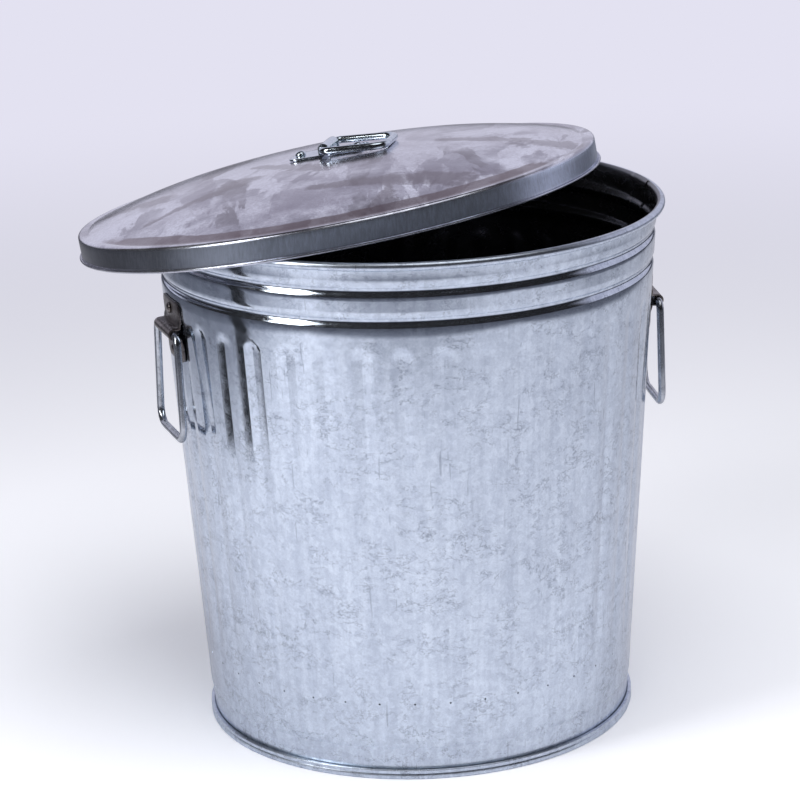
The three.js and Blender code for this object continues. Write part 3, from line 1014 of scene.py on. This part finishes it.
def strapOutline(half):
    # side view of the strap's underside, (along, out)
    room, standoff, soft = strap["room"], strap["standoff"], strap["foot"]
    flat = room + 2 * strap["loops"]
    outline = [(y, 0) for y in evenly(-half, -flat, strap["loops"])]
    outline += arc((-room - soft, soft), soft, -90, 0, 4)
    outline += arc((0, standoff), room, 180, 0, 14)
    outline += arc((room + soft, soft), soft, 180, 270, 4)
    outline += [(y, 0) for y in evenly(flat, half, strap["loops"])]
    return outline


def roundCorners(piece, half, wide):
    # each corner of the flat strap is cut off by planes round it
    corner = strap["corner"]
    for sideways in (-1, 1):
        for lengthways in (-1, 1):
            centre = Vector((sideways * (wide / 2 - corner), lengthways * (half - corner), 0))
            for turn in strap["cuts"]:
                out = Vector((sideways * math.cos(math.radians(turn)),
                              lengthways * math.sin(math.radians(turn)), 0))
                edit(piece)
                bpy.ops.mesh.select_all(action="SELECT")
                bpy.ops.mesh.bisect(plane_co=(centre + out * corner) * mm, plane_no=out,
                                    clear_outer=True)
                done()


def makeStrap(name, half, wide, bentTo):
    piece = drawOutline(name, strapOutline(half), Vector((0, 1, 0)), Vector((0, 0, 1)))
    bpy.ops.mesh.select_all(action="SELECT")
    bpy.ops.transform.translate(value=(-wide / 2 * mm, 0, 0))
    step = (wide / strap["parts"] * mm, 0, 0)
    for part in range(strap["parts"]):
        bpy.ops.mesh.extrude_region_move(TRANSFORM_OT_translate={"value": step})
    bpy.ops.mesh.select_all(action="SELECT")
    bpy.ops.mesh.normals_make_consistent(inside=False)
    done()
    flat = min(piece.data.polygons, key=lambda f: f.center.y)
    if flat.normal.z > 0:
        edit(piece)
        bpy.ops.mesh.select_all(action="SELECT")
        bpy.ops.mesh.flip_normals()
        done()
    roundCorners(piece, half, wide)
    if bentTo:
        # the ends follow the round wall, the hump stays straight
        deepest = wide * wide / (8 * bentTo)
        start, end = (strap["room"] + reach for reach in strap["flatFrom"])
        push(piece, "roundWall", -deepest * mm, direction="Z",
             weightAt=lambda place, normal: (2 * place.x / mm / wide) ** 2
             * softStep(start, end, abs(place.y / mm)))
    thicken(piece, strap["sheet"])
    applyModifier(piece, "BEVEL", width=strap["bevel"] * mm, segments=2, limit_method="ANGLE",
                  angle_limit=math.radians(50))
    shadeSmooth(piece, 40)
    return piece


def makeRivet(name, headHeight, grip):
    # domed head over the strap, straight shank, clenched tail
    head, edge = rivet["head"], rivet["edge"]
    above = strap["sheet"] + rivet["headGap"]
    below = -(grip + rivet["past"])
    outline = [(0, above + headHeight)]
    for turn in rivet["headTurns"]:
        outline.append((head * math.cos(math.radians(turn)),
                        above + edge + (headHeight - edge) * math.sin(math.radians(turn))))
    outline += [(head, above + 0.05), (head - tiny, above)]
    outline += [(rivet["shank"], above), (rivet["shank"], below)]
    outline += [(radius, below + down) for radius, down in rivet["tail"]]
    piece = drawOutline(name, outline)
    spinRound(piece, rivet["columns"])
    shadeSmooth(piece, 35)
    return piece


def makeWasher(name, grip):
    top = -(grip + washer["gap"])
    piece = drawOutline(name, [(radius, top + down) for radius, down in washer["outline"]])
    spinRound(piece, washer["columns"])
    shadeSmooth(piece, 35)
    return piece


modelled = {}  # the first piece of each kind, and its place
finished = []  # what is handed over at the end, once all copies are taken


def put(make, name, place, *sizes):
    # each kind and size is modelled once; the others are copies of it, moved on from its place
    kind = f"{make.__name__} {sizes}"
    if kind in modelled:
        first, firstPlace = modelled[kind]
        piece = copyOf(first, name)
        settle(piece, place @ firstPlace.inverted())
    else:
        piece = make(name, *sizes)
        settle(piece, place)
        modelled[kind] = piece, place
    return piece


def putFixings(body, name, place, head, grip, finish):
    # a rivet and the washer under its tail; the CAD's names have small letters and underscores
    fixing = put(makeRivet, name.replace("_", "Rivet"), place, head, grip)
    finished.append((fixing, body, "zinc_wire", finish, name.replace("_", "_rivet_").lower()))
    ring = put(makeWasher, name.replace("_", "Washer"), place, grip)
    finished.append((ring, body, "zinc_sheet", zincOnWall, name.replace("_", "_washer_").lower()))


lean = math.atan(wall["slope"])
for side in ("left", "right"):
    spot = sideHandle[side]
    outward = unit(spot["azimuth"])
    across = unit(spot["azimuth"] + 90)
    along = (outward * math.sin(lean) + Vector((0, 0, 1)) * math.cos(lean)).normalized()
    out = across.cross(along)
    radius = wallRadius(spot["height"]) + strap["seat"]
    seat = canAxis + outward * (radius * mm) + Vector((0, 0, spot["height"] * mm))
    place = seatMatrix(across, along, out, seat)
    bracket = put(makeStrap, side + "Bracket", place, sideHandle["strapHalf"],
                  sideHandle["strapWide"], wallRadius(spot["height"]))
    finished.append((bracket, "can", "zinc_wire", zincOnStrap, side + "_bracket"))
    for end, reach in (("Upper", sideHandle["rivetReach"]), ("Lower", -sideHandle["rivetReach"])):
        inFlute = spot["height"] + reach - rivet["wide"] < wall["fluteHigh"]
        room = wall["fluteDepth"] + sideHandle["overFlute"] if inFlute else sideHandle["overSheet"]
        grip = strap["seat"] + wall["sheet"] + room
        at = place @ Matrix.Translation((0, reach * mm, 0))
        putFixings("can", f"{side}_{end}", at, sideHandle["rivetHead"], grip, zincOnStrap)
    hinge = seat + out * (strap["standoff"] * mm)
    hanging = seatMatrix(across, Vector((0, 0, 1)), outward, hinge)
    bail = put(makeBail, side + "Bail", hanging, sideHandle)
    finished.append((bail, side + "_bail", "zinc_wire", zincOnWire, side + "_handle"))

handleTurn = Matrix.Rotation(math.radians(lidHandle["turn"] - (lid["azimuth"] - 180) + 90), 4, "Z")
lidSeat = Matrix.Translation((0, 0, (lidTop(0) + strap["seat"]) * mm))
strapPlace = lidPlace @ handleTurn @ lidSeat
bracket = put(makeStrap, "lidBracket", strapPlace, lidHandle["strapHalf"], lidHandle["strapWide"], 0)
finished.append((bracket, "lid", "zinc_wire", zincOnHandle, "lid_bracket"))
for end, reach in (("Near", lidHandle["rivetReach"]), ("Far", -lidHandle["rivetReach"])):
    grip = strap["seat"] + lidTop(0) - lidTop(lidHandle["rivetReach"] + rivet["wide"]) + lid["sheet"]
    at = strapPlace @ Matrix.Translation((0, reach * mm, 0))
    putFixings("lid", f"lid_{end}", at, lidHandle["rivetHead"], grip, zincOnHandle)
footTop = lidTop(0) + strap["seat"] + strap["standoff"] - lidTop(lidHandle["drop"] + wire["radius"])
rest = math.asin((footTop - wire["radius"] - lidHandle["lying"]) / lidHandle["drop"])
lying = Matrix.Translation((0, 0, strap["standoff"] * mm)) @ Matrix.Rotation(rest, 4, "X")
bail = put(makeBail, "lidBail", strapPlace @ lying, lidHandle)
finished.append((bail, "lid_bail", "zinc_wire", zincOnHandle, "lid_handle"))

for piece in finished:
    handOver(*piece)
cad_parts["rim_wire"].data.materials.clear()
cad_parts["rim_wire"].data.materials.append(zincOnWire)
print("handles made:", len(finished), "pieces")


camera = {
    "place": (146.32, -2361.59, 964.02),
    "yaw": -3.0917,
    "pitch": 16.6774,
    "roll": -1.9715,
    "lens": 134.753,
    "sensor": 36,
    "farthest": 50,   # metres
}


def makeCamera():
    bpy.ops.object.camera_add(location=Vector(camera["place"]) * mm)
    eye = bpy.context.object
    eye.name = "camera"
    turned = Matrix.Rotation(math.radians(-camera["yaw"]), 4, "Z")
    tilted = Matrix.Rotation(math.radians(90 - camera["pitch"]), 4, "X")
    rolled = Matrix.Rotation(math.radians(camera["roll"]), 4, "Z")
    eye.matrix_world = Matrix.Translation(Vector(camera["place"]) * mm) @ turned @ tilted @ rolled
    eye.data.lens = camera["lens"]
    eye.data.sensor_width = camera["sensor"]
    eye.data.clip_end = camera["farthest"]
    eye.data.dof.use_dof = False
    bpy.context.scene.camera = eye


floorLooks = {
    "radius": 12.0,
    "sides": 96,
    "colour": (0.88, 0.88, 0.93, 1),
    "paperEnds": {               # azimuth: how far off the lit paper ends, where mirrors see a dark room
        270: (0.80, 1.40),
        180: (0.60, 1.25),
        0: (1.10, 1.60),
    },
    "room": (0.22, 0.23, 0.27, 1),
    "seen": (1.17, 1.18, 1.22, 1),
    "farGlow": (0.77, 0.76, 0.88, 1),
    "glowFrom": (0.4, 2.6),      # behind the can the paper turns into the plain backdrop
}


def towards(tree, place, way):
    # how far a place or direction goes along a way
    along = node(tree, "ShaderNodeVectorMath", {0: place, 1: way[:]}, operation="DOT_PRODUCT")
    return along.outputs["Value"]


def makeFloor():
    deselectAll()
    bpy.ops.mesh.primitive_circle_add(vertices=floorLooks["sides"], radius=floorLooks["radius"],
                                      fill_type="NGON", location=(0, 0, 0))
    floor = nameIt(bpy.context.object, "floor")
    finish, tree = newFinish("paleFloor")
    place = node(tree, "ShaderNodeTexCoord").outputs["Object"]
    reach = node(tree, "ShaderNodeVectorMath", {0: place}, operation="LENGTH").outputs["Value"]
    ray = node(tree, "ShaderNodeLightPath")
    past = 0.0
    for azimuth, ends in floorLooks["paperEnds"].items():
        past = reckon(tree, "MAXIMUM", past, between(tree, towards(tree, place, unit(azimuth)), *ends))
    past = times(tree, past, ray.outputs["Is Glossy Ray"])
    paper = colour(tree, past, floorLooks["colour"], floorLooks["room"])
    paper = colour(tree, ray.outputs["Is Camera Ray"], paper, floorLooks["seen"])
    lit = node(tree, "ShaderNodeBsdfDiffuse", {"Color": paper})
    glow = node(tree, "ShaderNodeEmission", {"Color": floorLooks["farGlow"], "Strength": 1.0})
    start, end = floorLooks["glowFrom"]
    far = times(tree, between(tree, reach, start, end), ray.outputs["Is Camera Ray"])
    surface = node(tree, "ShaderNodeMixShader", {0: far, 1: lit.outputs[0], 2: glow.outputs[0]})
    node(tree, "ShaderNodeOutputMaterial", {"Surface": surface.outputs[0]})
    floor.data.materials.append(finish)


# sizes and distances of lamps and cards are metres, azimuths and rises degrees
lamps = {
    "key": {"azimuth": -50, "rise": 72, "away": 2.2, "size": (1.8, 1.8), "power": 35,
            "mirrored": False},
    "strip": {"azimuth": 218, "rise": 32, "away": 1.7, "size": (0.5, 1.3), "power": 12,
              "mirrored": True},
}
aim = canAxis + Vector((0, 0, 200 * mm))  # what the lamps point at


def upwards(azimuth, rise):
    rise = math.radians(rise)
    return unit(azimuth) * math.cos(rise) + Vector((0, 0, math.sin(rise)))


def makeLamps():
    for name, lamp in lamps.items():
        place = aim + upwards(lamp["azimuth"], lamp["rise"]) * lamp["away"]
        bpy.ops.object.light_add(type="AREA", location=place)
        light = bpy.context.object
        light.name = name + "Lamp"
        light.data.shape = "RECTANGLE"
        light.data.size, light.data.size_y = lamp["size"]
        light.data.energy = lamp["power"]
        light.visible_glossy = lamp["mirrored"]
        light.rotation_euler = (place - aim).to_track_quat("Z", "Y").to_euler()


sky = {
    "soft": (0.24, 0.24, 0.27, 1),      # light on matt surfaces, from all round
    "backdrop": (0.60, 0.59, 0.70, 1),
    "room": (0.009, 0.008, 0.009, 1),
    "azimuth": 75,                       # the backdrop's middle, and how far it reaches round
    "reach": (0.17, 0.42),
    "rise": (0.50, 0.85),                # sine of the elevation where it ends
    "overhead": (1.3, 1.3, 1.35, 1),     # the key lamp as mirrors see it
    "overheadReach": (0.895, 0.95),
    "seen": (0.76, 0.75, 0.87, 1),
}


def makeSky():
    world = bpy.data.worlds.new("studio")
    bpy.context.scene.world = world
    world.use_nodes = True
    tree = world.node_tree
    tree.nodes.clear()
    ray = node(tree, "ShaderNodeLightPath")
    way = node(tree, "ShaderNodeTexCoord").outputs["Generated"]
    up = node(tree, "ShaderNodeSeparateXYZ", {0: way}).outputs["Z"]
    behind = between(tree, towards(tree, way, unit(sky["azimuth"])), *sky["reach"])
    low = between(tree, up, *sky["rise"], 1.0, 0.0)
    mirrored = colour(tree, times(tree, behind, low), sky["room"], sky["backdrop"])
    overhead = towards(tree, way, upwards(lamps["key"]["azimuth"], lamps["key"]["rise"]))
    mirrored = colour(tree, between(tree, overhead, *sky["overheadReach"]), mirrored, sky["overhead"])
    shown = colour(tree, ray.outputs["Is Glossy Ray"], sky["soft"], mirrored)
    shown = colour(tree, ray.outputs["Is Camera Ray"], shown, sky["seen"])
    background = node(tree, "ShaderNodeBackground", {"Color": shown, "Strength": 1.0})
    node(tree, "ShaderNodeOutputWorld", {"Surface": background.outputs[0]})


cards = {
    # black cards that only reflections show: azimuth, distance, width and height in metres
    "leftCard": {"azimuth": 197.3, "away": 0.784, "size": (0.105, 0.9),
                 "colour": (0.01, 0.01, 0.011, 1)},
}


def makeCards():
    for name, card in cards.items():
        facing = unit(card["azimuth"])
        deselectAll()
        bpy.ops.mesh.primitive_plane_add(size=1, location=canAxis + facing * card["away"])
        flag = nameIt(bpy.context.object, name)
        flag.scale = (*card["size"], 1)
        flag.location.z = card["size"][1] / 2
        flag.rotation_euler = facing.to_track_quat("Z", "Y").to_euler()
        flag.visible_camera = False
        flag.visible_diffuse = False
        flag.visible_shadow = False
        finish, tree = newFinish(name + "Black")
        surface = node(tree, "ShaderNodeBsdfDiffuse", {"Color": card["colour"]})
        node(tree, "ShaderNodeOutputMaterial", {"Surface": surface.outputs[0]})
        flag.data.materials.append(finish)


makeCards()
makeCamera()
makeFloor()
makeLamps()
makeSky()
bpy.context.scene.view_settings.view_transform = "Standard"
print("studio made")
